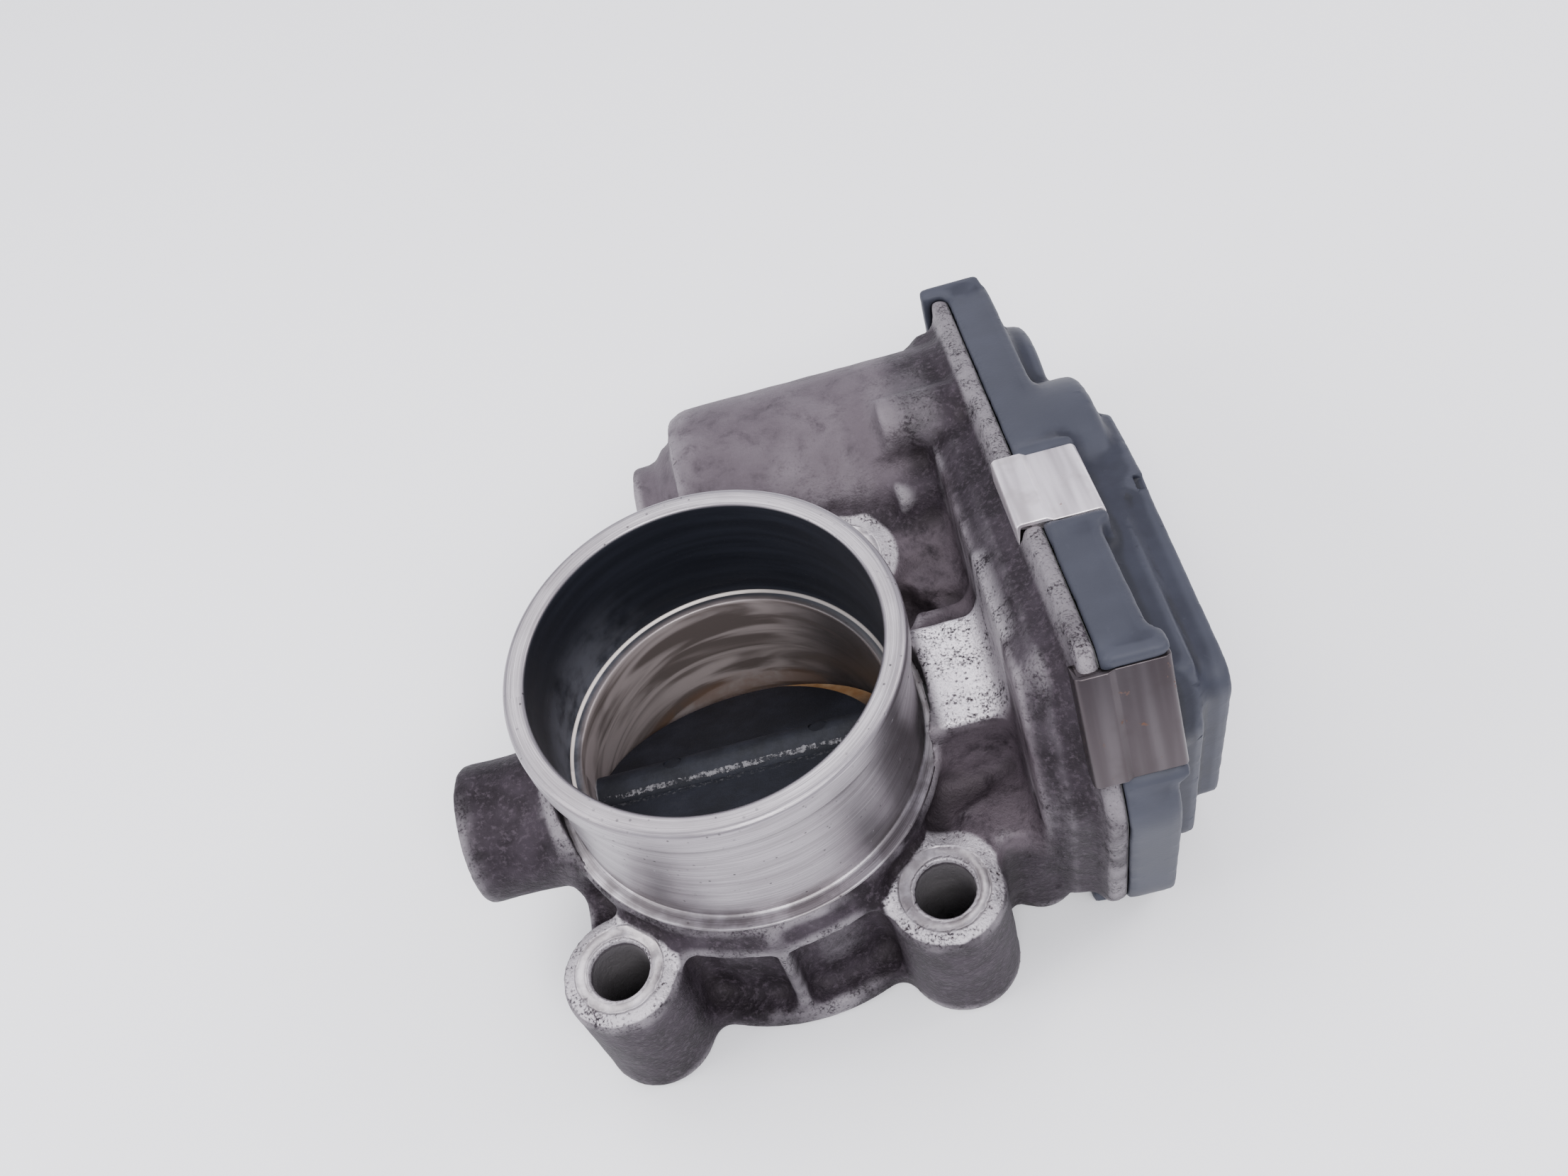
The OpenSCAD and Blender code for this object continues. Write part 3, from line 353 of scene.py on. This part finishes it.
def shaft_steel():
    """Ground steel, under black soot where the shaft crosses the bore."""
    g = Graph("machined_steel")
    x, y, z = g.axes_mm()
    grain = g.noise(0.8, 4, 0.7)
    cloud = g.noise(5, 3, 0.6)
    drawn = g.noise(0.8, 3, 0.7, vector=g.combine(g.times(x, 0.004), g.times(y, 0.0004), g.times(z, 0.0004)))
    steel = g.mix(g.ramp(drawn, 0.3, 0.7), (0.30, 0.30, 0.32), (0.56, 0.56, 0.58))
    soot = g.mix(g.ramp(cloud, 0.35, 0.7), (0.0060, 0.0072, 0.0122), (0.0160, 0.0182, 0.028))
    # Pale crumbs in a line along the top of the shaft
    line = g.times(g.between(y, -2.3, -1.3, 0.25), g.ramp(z, 27.5, 28.5))
    crumbs = g.ramp(g.add(g.times(line, 0.22), g.times(grain, 0.7), g.times(cloud, 0.3)), 0.68, 0.78)
    soot = g.mix(g.times(crumbs, 0.7), soot, (0.36, 0.35, 0.365))
    across = g.ramp(g.math("ABSOLUTE", x), BORE_R + 0.1, BORE_R - 0.3)
    height = g.add(g.times(grain, g.blend(across, 0.1, 0.8)), g.times(drawn, 0.2), g.times(crumbs, across))
    return g.finish(g.mix(across, steel, soot), g.blend(across, 0.3, g.add(0.5, g.times(grain, 0.3))),
                    g.blend(across, 1.0, 0.1), g.bump(height, 0.15, 0.8))


def clip_steel():
    """Rolled stainless strip, tarnished in lengthwise bands, with a few rust specks."""
    g = Graph("clip_steel")
    x, y, z = g.axes_mm()
    along = g.combine(g.times(x, MM), g.times(y, 0.00006), g.times(z, 0.00006))
    bands = g.noise(2.6, 2, 0.5, vector=along)
    cloud = g.noise(7, 3, 0.6)
    rust = g.times(g.ramp(g.noise(2.6, 5, 0.75), 0.63, 0.69), g.ramp(cloud, 0.42, 0.56))
    colour = g.mix(g.ramp(bands, 0.34, 0.68), (0.50, 0.455, 0.47), (0.93, 0.87, 0.90))
    colour = g.mix(g.times(g.ramp(cloud, 0.5, 0.72), 0.5), colour, (0.42, 0.37, 0.36))
    # Painted shade: the front clip is painted darker than the other two
    front = g.ramp(y, 0.0, -14.0)
    colour = g.mix(g.times(front, 0.93), colour, (0.026, 0.019, 0.0215))
    colour = g.mix(g.times(rust, 0.9), colour, (0.09, 0.035, 0.014))
    rough = g.add(0.26, g.times(cloud, 0.16), g.times(rust, 0.4))
    height = g.add(g.times(bands, 0.5), g.times(rust, 0.6))
    return g.finish(colour, rough, g.blend(rust, 0.9, 0.2), g.bump(height, 0.06, 0.7))


def cover_plastic():
    """Satin slate-black moulding with fine texture, dust and faint wipe marks."""
    g = Graph("black_plastic")
    hollow = g.attribute("hollow")
    cloud = g.noise(14, 4, 0.6)
    fine = g.noise(0.5, 3, 0.6)
    scuff = g.ramp(g.noise(3, 5, 0.7, 0.6), 0.6, 0.78)
    colour = g.mix(g.ramp(cloud, 0.32, 0.7), (0.0120, 0.0133, 0.0212), (0.0225, 0.0248, 0.0372))
    colour = g.mix(g.times(scuff, 0.3), colour, (0.055, 0.06, 0.075))
    colour = g.mix(g.times(g.ramp(hollow, 0.2, 0.7), 0.3), colour, (0.07, 0.075, 0.095))
    colour = g.mix(g.times(g.ramp(hollow, -0.08, -0.4), 0.6), colour, (0.009, 0.0095, 0.012))
    rough = g.add(0.48, g.times(cloud, 0.12), g.times(scuff, 0.14))
    height = g.add(g.times(fine, 0.6), g.times(cloud, 0.4), g.times(scuff, 0.3))
    return g.finish(colour, rough, 0.0, g.bump(height, 0.06, 0.6), Specular_IOR_Level=0.26)


def plain_finish(name, dark, light, rough, metallic, size_mm, depth_mm, stretch=(1.0, 1.0, 1.0)):
    """Cloudy shade, fine grain and a matching bump. A low stretch draws the grain out along an axis."""
    g = Graph(name)
    drawn = g.combine(*(g.times(value, MM * share) for value, share in zip(g.axes_mm(), stretch)))
    cloud = g.noise(size_mm * 5, 3, 0.6)
    grain = g.noise(size_mm, 4, 0.7, vector=drawn)
    marks = g.ramp(g.noise(size_mm * 2, 5, 0.7, 0.4), 0.62, 0.72)
    colour = g.mix(g.ramp(grain, 0.3, 0.7), dark, light)
    colour = g.mix(g.times(g.ramp(cloud, 0.45, 0.75), 0.35), colour, tuple(0.55 * c for c in dark))
    height = g.add(grain, g.times(marks, -0.5))
    return g.finish(colour, g.add(rough - 0.06, g.times(cloud, 0.12), g.times(marks, 0.1)), metallic,
                    g.bump(height, depth_mm, 0.6))


MATERIALS = {
    "cast_aluminium": cast_aluminium(),
    "turned_aluminium": turned_aluminium(),
    "sooty_brass": sooty_plate(),
    "clip_steel": clip_steel(),
    "black_plastic": cover_plastic(),
    "machined_steel": shaft_steel(),
    "zinc_steel": plain_finish("zinc_steel", (0.40, 0.39, 0.36), (0.66, 0.65, 0.62), 0.34, 1.0, 1.2, 0.03),
    "bearing_steel": plain_finish(
        "bearing_steel", (0.48, 0.48, 0.50), (0.74, 0.74, 0.76), 0.2, 1.0, 0.7, 0.015, (4, 0.5, 0.5)),
    "spring_steel": plain_finish(
        "spring_steel", (0.26, 0.26, 0.28), (0.50, 0.50, 0.53), 0.34, 1.0, 0.6, 0.02),
    "black_rubber": plain_finish(
        "black_rubber", (0.018, 0.018, 0.018), (0.045, 0.045, 0.046), 0.7, 0.0, 0.9, 0.05),
    "white_plastic": plain_finish(
        "white_plastic", (0.68, 0.65, 0.56), (0.82, 0.79, 0.70), 0.42, 0.0, 1.5, 0.03),
    "magnet": plain_finish("magnet", (0.05, 0.05, 0.052), (0.12, 0.12, 0.125), 0.6, 0.0, 0.8, 0.05),
    "lamination": plain_finish(
        "lamination", (0.20, 0.19, 0.18), (0.46, 0.44, 0.42), 0.4, 0.9, 0.5, 0.04, (8, 0.3, 0.3)),
    "brass": plain_finish("brass", (0.48, 0.36, 0.16), (0.76, 0.62, 0.34), 0.28, 1.0, 0.9, 0.02),
    "brown_plastic": plain_finish(
        "brown_plastic", (0.12, 0.07, 0.045), (0.24, 0.15, 0.10), 0.5, 0.0, 1.1, 0.04),
    "green_board": plain_finish("green_board", (0.02, 0.09, 0.05), (0.05, 0.19, 0.11), 0.35, 0.0, 1.4, 0.03),
}


def paint(piece, slot_name, material_name=None):
    piece.data.materials.clear()
    piece.data.materials.append(MATERIALS[material_name or slot_name])


# ---------------------------------------------------------------- shapes from distance fields

def mesh_arrays(piece):
    """Corner points in millimetres and triangles of a mesh object."""
    mesh = piece.data
    mesh.calc_loop_triangles()
    points = np.empty(len(mesh.vertices) * 3, np.float32)
    mesh.vertices.foreach_get("co", points)
    triangles = np.empty(len(mesh.loop_triangles) * 3, np.int32)
    mesh.loop_triangles.foreach_get("vertices", triangles)
    return points.reshape(-1, 3) * 1000.0, triangles.reshape(-1, 3)


class Field:
    """A solid's distance field on a grid, in millimetres: negative inside."""

    def __init__(self, points, triangles, quads, voxel, band):
        self.voxel = voxel
        self.band = band
        self.grid = vdb.FloatGrid.createLevelSetFromPolygons(
            points, triangles=triangles, quads=quads,
            transform=vdb.createLinearTransform(voxelSize=voxel), halfWidth=band)

    def surface_at(self, distance):
        """The field of the solid that the surface at that distance bounds."""
        points, triangles, quads = self.grid.convertToPolygons(isovalue=distance)
        return Field(points, triangles, quads, self.voxel, self.band)

    def dense(self, margin=3):
        """The field as an array, and the grid index of its first value."""
        low, high = self.grid.evalActiveVoxelBoundingBox()
        first = tuple(int(a) - margin for a in low)
        shape = tuple(int(b) - int(a) + 2 * margin + 1 for a, b in zip(low, high))
        values = np.zeros(shape, np.float32)
        self.grid.copyToArray(values, ijk=first)
        return values, first


def softened(piece, voxel, fillet, edge):
    """The piece's field, its inner corners filled to radius fillet and its outer edges rounded to edge."""
    points, triangles = mesh_arrays(piece)
    band = math.ceil((fillet + edge) / voxel) + 2.5
    sharp = Field(points, triangles, None, voxel, band)
    return sharp.surface_at(fillet).surface_at(-fillet - edge).surface_at(edge)


def lattice_noise(shape, cell, rng):
    """Smooth random values from 0 to 1, one lump about every cell voxels."""
    counts = [int(n / cell) + 3 for n in shape]
    values = rng.random(counts, dtype=np.float32)
    for axis, n in enumerate(shape):
        steps = np.arange(n, dtype=np.float32) / cell
        start = steps.astype(int)
        share = steps - start
        share = share * share * (3 - 2 * share)
        share = share.reshape([-1 if a == axis else 1 for a in range(3)])
        values = np.take(values, start, axis) * (1 - share) + np.take(values, start + 1, axis) * share
    return values


def blurred(values, reach):
    """The mean over a box of 2 * reach + 1 voxels."""
    for axis in range(3):
        size = 2 * reach + 1
        pad = [(reach + 1, reach) if a == axis else (0, 0) for a in range(3)]
        sums = np.cumsum(np.pad(values, pad, mode="edge"), axis=axis, dtype=np.float64)
        count = values.shape[axis]
        upper = np.take(sums, np.arange(size, size + count), axis)
        lower = np.take(sums, np.arange(count), axis)
        values = ((upper - lower) / size).astype(np.float32)
    return values


def sampled(values, places):
    """The array's values at fractional places, by linear interpolation."""
    low = np.clip(np.floor(places).astype(int), 0, np.array(values.shape) - 2)
    share = places - low
    total = np.zeros(len(places))
    for corner in np.ndindex(2, 2, 2):
        weight = np.prod(np.where(corner, share, 1 - share), axis=1)
        x, y, z = (low + corner).T
        total += weight * values[x, y, z]
    return total


def mesh_from_field(name, values, first, voxel, adaptivity, hollow_reach):
    """A smooth mesh of the zero surface. Its attribute hollow is above 0 on edges and below in hollows."""
    grid = vdb.FloatGrid(background=float(values.max()))
    grid.copyFromArray(values, ijk=first)
    grid.transform = vdb.createLinearTransform(voxelSize=voxel)
    points, triangles, quads = grid.convertToPolygons(adaptivity=adaptivity)
    faces = [tuple(int(i) for i in face[::-1]) for group in (triangles, quads) for face in group]
    mesh = bpy.data.meshes.new(name)
    mesh.from_pydata([tuple(p) for p in (points * MM).tolist()], [], faces)
    mesh.validate()
    limit = hollow_reach * voxel
    smooth = blurred(blurred(np.clip(values, -limit, limit), hollow_reach), 2) / limit
    shade = sampled(smooth, points / voxel - np.array(first))
    attribute = mesh.attributes.new("hollow", "FLOAT", "POINT")
    attribute.data.foreach_set("value", (shade * 4).astype(np.float32))
    mesh.shade_smooth()
    piece = bpy.data.objects.new(name, mesh)
    bpy.context.scene.collection.objects.link(piece)
    return piece


def grid_places(shape, first, voxel):
    """x, y and z of the grid's points, each as a broadcastable axis."""
    return tuple(
        ((np.arange(n, dtype=np.float32) + start) * voxel).reshape([-1 if a == axis else 1 for a in range(3)])
        for axis, (n, start) in enumerate(zip(shape, first)))


def housing_casting():
    voxel = 0.45
    field = softened(nodes["housing"], voxel, 2.2, 0.3)
    values, first = field.dense()
    values = blurred(values, 1)
    x, y, z = grid_places(values.shape, first, voxel)
    radius = np.sqrt(x * x + y * y)
    # Slope between the two steps of the gear pan's back
    step = values[int(round(PAN_STEP_X[1] / voxel)) - first[0] + 1][None]
    slope = np.maximum(step + PAN_SLOPE * (PAN_STEP_X[1] - x), PAN_STEP_X[0] - x)
    values = np.where(x < PAN_STEP_X[1], np.minimum(values, slope), values)
    # Room for the turned inlet and bore, which are a piece of their own
    values = np.maximum(values, np.minimum(BORE_R + 1.0 - radius, z - REGISTER_Z))
    values = np.maximum(values, np.minimum(BEAD_R + 0.2 - radius, z - (RING_Z - 0.4)))
    # Cast skin, left off the machined faces
    rng = np.random.default_rng(7)
    lumps = 0.16 * lattice_noise(values.shape, 4.5, rng) + 0.07 * lattice_noise(values.shape, 2.0, rng)
    machined = (z < 1.0) | (x > JOINT_X - 0.6)
    for bolt_x, bolt_y, top in BOLTS:
        away = np.sqrt((x - bolt_x) ** 2 + (y - bolt_y) ** 2)
        machined = machined | (away < SPOT_R + 0.6) & (z > top - 1.2)
    values = values + np.where(machined, 0.0, lumps).astype(np.float32)
    values = np.maximum(values, 0.02 - z)
    piece = mesh_from_field("housing_casting", values, first, voxel, 0.1, 5)
    paint(piece, "cast_aluminium")
    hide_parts("housing")
    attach(piece, "root")


def revolved(name, profile, segments):
    """A closed ring about the bore axis, from its outline of [radius, height] in millimetres."""
    corners = []
    faces = []
    count = len(profile)
    for i in range(segments):
        turn = 2 * math.pi * i / segments
        corners += [(r * MM * math.cos(turn), r * MM * math.sin(turn), h * MM) for r, h in profile]
        for j in range(count):
            k = (j + 1) % count
            following = (i + 1) % segments
            faces.append((i * count + j, following * count + j, following * count + k, i * count + k))
    mesh = bpy.data.meshes.new(name)
    mesh.from_pydata(corners, [], faces)
    piece = bpy.data.objects.new(name, mesh)
    bpy.context.scene.collection.objects.link(piece)
    return piece


def arc(centre, radius, start, end, steps=6):
    """Points of an arc in the radius-height plane, in degrees."""
    turns = [math.radians(start + (end - start) * i / steps) for i in range(steps + 1)]
    return [[centre[0] + radius * math.cos(t), centre[1] + radius * math.sin(t)] for t in turns]


def inlet_and_bore():
    """The turned surfaces: bead, hose seat, ring ledge, inlet chamber, step and bore."""
    seat = []
    height = RING_Z + 1.5
    while height < RIM_Z - 7.2:
        seat.append([SEAT_R - 0.03 * (len(seat) % 2), height])
        height += 0.42
    outline = (
        [[BORE_R + 1.4, REGISTER_Z], [BORE_R + 1.4, RING_Z - 0.8], [BEAD_R + 0.6, RING_Z - 0.8]]
        + arc([BEAD_R + 0.5, RING_Z - 0.3], 0.35, 0, 90, 4)
        + [[BEAD_R - 0.3, RING_Z + 0.1], [BEAD_R - 0.5, RING_Z + 0.1], [SEAT_R + 0.3, RING_Z + 0.1]]
        + [[SEAT_R - 0.15, RING_Z + 0.2], [SEAT_R - 0.4, RING_Z + 0.45]]
        + [[SEAT_R - 0.15, RING_Z + 0.75], [SEAT_R, RING_Z + 1.1]]
        + seat
        + [[SEAT_R + 0.05, RIM_Z - 6.8], [SEAT_R + 0.3, RIM_Z - 6.0], [SEAT_R + 0.8, RIM_Z - 5.2]]
        + arc([BEAD_R - 0.7, RIM_Z - 4.4], 0.7, -30, 0, 4)
        + arc([BEAD_R - 1.1, RIM_Z - 1.1], 1.1, 0, 90, 8)
        + arc([INLET_R + 0.7, RIM_Z - 0.7], 0.7, 90, 180, 5)
        + [[INLET_R, h] for h in (56.0, 50.0, 44.0, 40.0)]
        + [[INLET_R, STEP_Z + 0.5], [INLET_R - 0.2, STEP_Z + 0.3], [BORE_R + 0.45, STEP_Z + 0.02]]
        + arc([BORE_R + 0.4, STEP_Z - 0.38], 0.4, 90, 180, 4)
        + [[BORE_R, h] for h in (34.0, 30.0, 25.0, 18.0, 10.0)]
        + [[BORE_R, REGISTER_Z]])
    piece = revolved("inlet_and_bore", outline[::-1], 256)
    piece.data.shade_smooth()
    piece.data.set_sharp_from_angle(angle=math.radians(50))
    paint(piece, "cast_aluminium", "turned_aluminium")
    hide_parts("housing")
    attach(piece, "root")


def cover_moulding():
    voxel = 0.36
    field = softened(nodes["gear_cover"], voxel, 0.8, 0.2)
    values, first = field.dense()
    values = blurred(blurred(values, 1), 1)
    x, y, z = grid_places(values.shape, first, voxel)
    notch = np.maximum(np.maximum(NOTCH_X - x, abs(y - NOTCH_Y) - NOTCH_W / 2), NOTCH_Z - z)
    values = np.maximum(values, -notch)
    rng = np.random.default_rng(11)
    values = values + 0.05 * lattice_noise(values.shape, 12.0, rng)
    piece = mesh_from_field("cover_moulding", values, first, voxel, 0.15, 4)
    paint(piece, "black_plastic")
    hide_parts("gear_cover")
    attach(piece, "root")


def bevelled(name, width_mm):
    """A copy of a CAD node with its sharp edges broken, which stands for it."""
    piece = bpy.data.objects.new(name + "_formed", nodes[name].data.copy())
    bpy.context.scene.collection.objects.link(piece)
    edges = bmesh.new()
    edges.from_mesh(piece.data)
    bmesh.ops.remove_doubles(edges, verts=edges.verts, dist=0.001 * MM)
    bmesh.ops.dissolve_limit(edges, angle_limit=math.radians(1), verts=edges.verts, edges=edges.edges)
    sharp = [e for e in edges.edges if len(e.link_faces) == 2 and e.calc_face_angle() > math.radians(40)]
    bmesh.ops.bevel(edges, geom=sharp, offset=width_mm * MM, segments=3, affect="EDGES", profile=0.5)
    edges.to_mesh(piece.data)
    edges.free()
    piece.data.shade_smooth()
    piece.data.set_sharp_from_angle(angle=math.radians(35))
    paint(piece, slot_of[name])
    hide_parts(name)
    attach(piece, "root")


slot_of = {row["node"]: row["material_slot"] for row in frame["record"]["subparts"]}
for node_name, node in nodes.items():
    paint(node, slot_of[node_name])
paint(nodes["plate_screws"], slot_of["plate_screws"], "machined_steel")
housing_casting()
cover_moulding()
inlet_and_bore()
for clip in ("cover_clip_top", "cover_clip_front", "cover_clip_rear"):
    bevelled(clip, 0.18)


# ---------------------------------------------------------------- stage, light and camera

def stage_floor():
    bpy.ops.mesh.primitive_plane_add(size=6.0, location=(0.0, 0.0, start_bounds[0][2] - 0.3 * MM))
    floor = bpy.context.object
    floor.name = "floor"
    g = Graph("floor_paper")
    tone = g.mix(g.noise(60, 3, 0.6), (0.93, 0.93, 0.945), (0.96, 0.96, 0.97))
    floor.data.materials.append(g.finish(tone, 0.7, 0.0, g.bump(g.noise(0.6, 3, 0.6), 0.02, 0.3)))


def softbox(name, place, aim, size, power, colour=(1.0, 1.0, 1.0)):
    data = bpy.data.lights.new(name, "AREA")
    data.shape = "RECTANGLE"
    data.size, data.size_y = size
    data.energy = power
    data.color = colour
    lamp = bpy.data.objects.new(name, data)
    lamp.location = place
    lamp.rotation_euler = (Vector(aim) - Vector(place)).to_track_quat("-Z", "Y").to_euler()
    bpy.context.scene.collection.objects.link(lamp)


def studio():
    world = bpy.data.worlds.new("studio")
    world.use_nodes = True
    world.node_tree.nodes["Background"].inputs["Color"].default_value = (0.89, 0.885, 1.0, 1.0)
    world.node_tree.nodes["Background"].inputs["Strength"].default_value = 1.2
    bpy.context.scene.world = world
    aim = (0.01, 0.02, 0.03)
    softbox("top_light", (-0.15, 0.35, 0.75), aim, (0.6, 0.5), 3.3)
    softbox("front_light", (0.1, -0.5, 0.65), aim, (0.45, 0.35), 5.8)
    softbox("left_light", (-0.65, -0.1, 0.45), aim, (0.4, 0.5), 3.8)
    softbox("right_light", (0.6, 0.1, 0.5), aim, (0.35, 0.4), 2.0, (1.0, 0.96, 0.97))


def photo_camera():
    right = Vector((0.96561, -0.16709, -0.19919))
    up = Vector((0.25356, 0.77449, 0.57954))
    back = right.cross(up)
    place = Vector((0.027009, -0.134496, 0.242957))
    data = bpy.data.cameras.new("camera")
    data.sensor_width = 36.0
    data.lens = 36.44
    data.clip_start = 0.01
    camera = bpy.data.objects.new("camera", data)
    turn = Matrix((right, up, back)).transposed()
    camera.matrix_world = Matrix.Translation(place) @ turn.to_4x4()
    bpy.context.scene.collection.objects.link(camera)
    bpy.context.scene.camera = camera


stage_floor()
studio()
photo_camera()
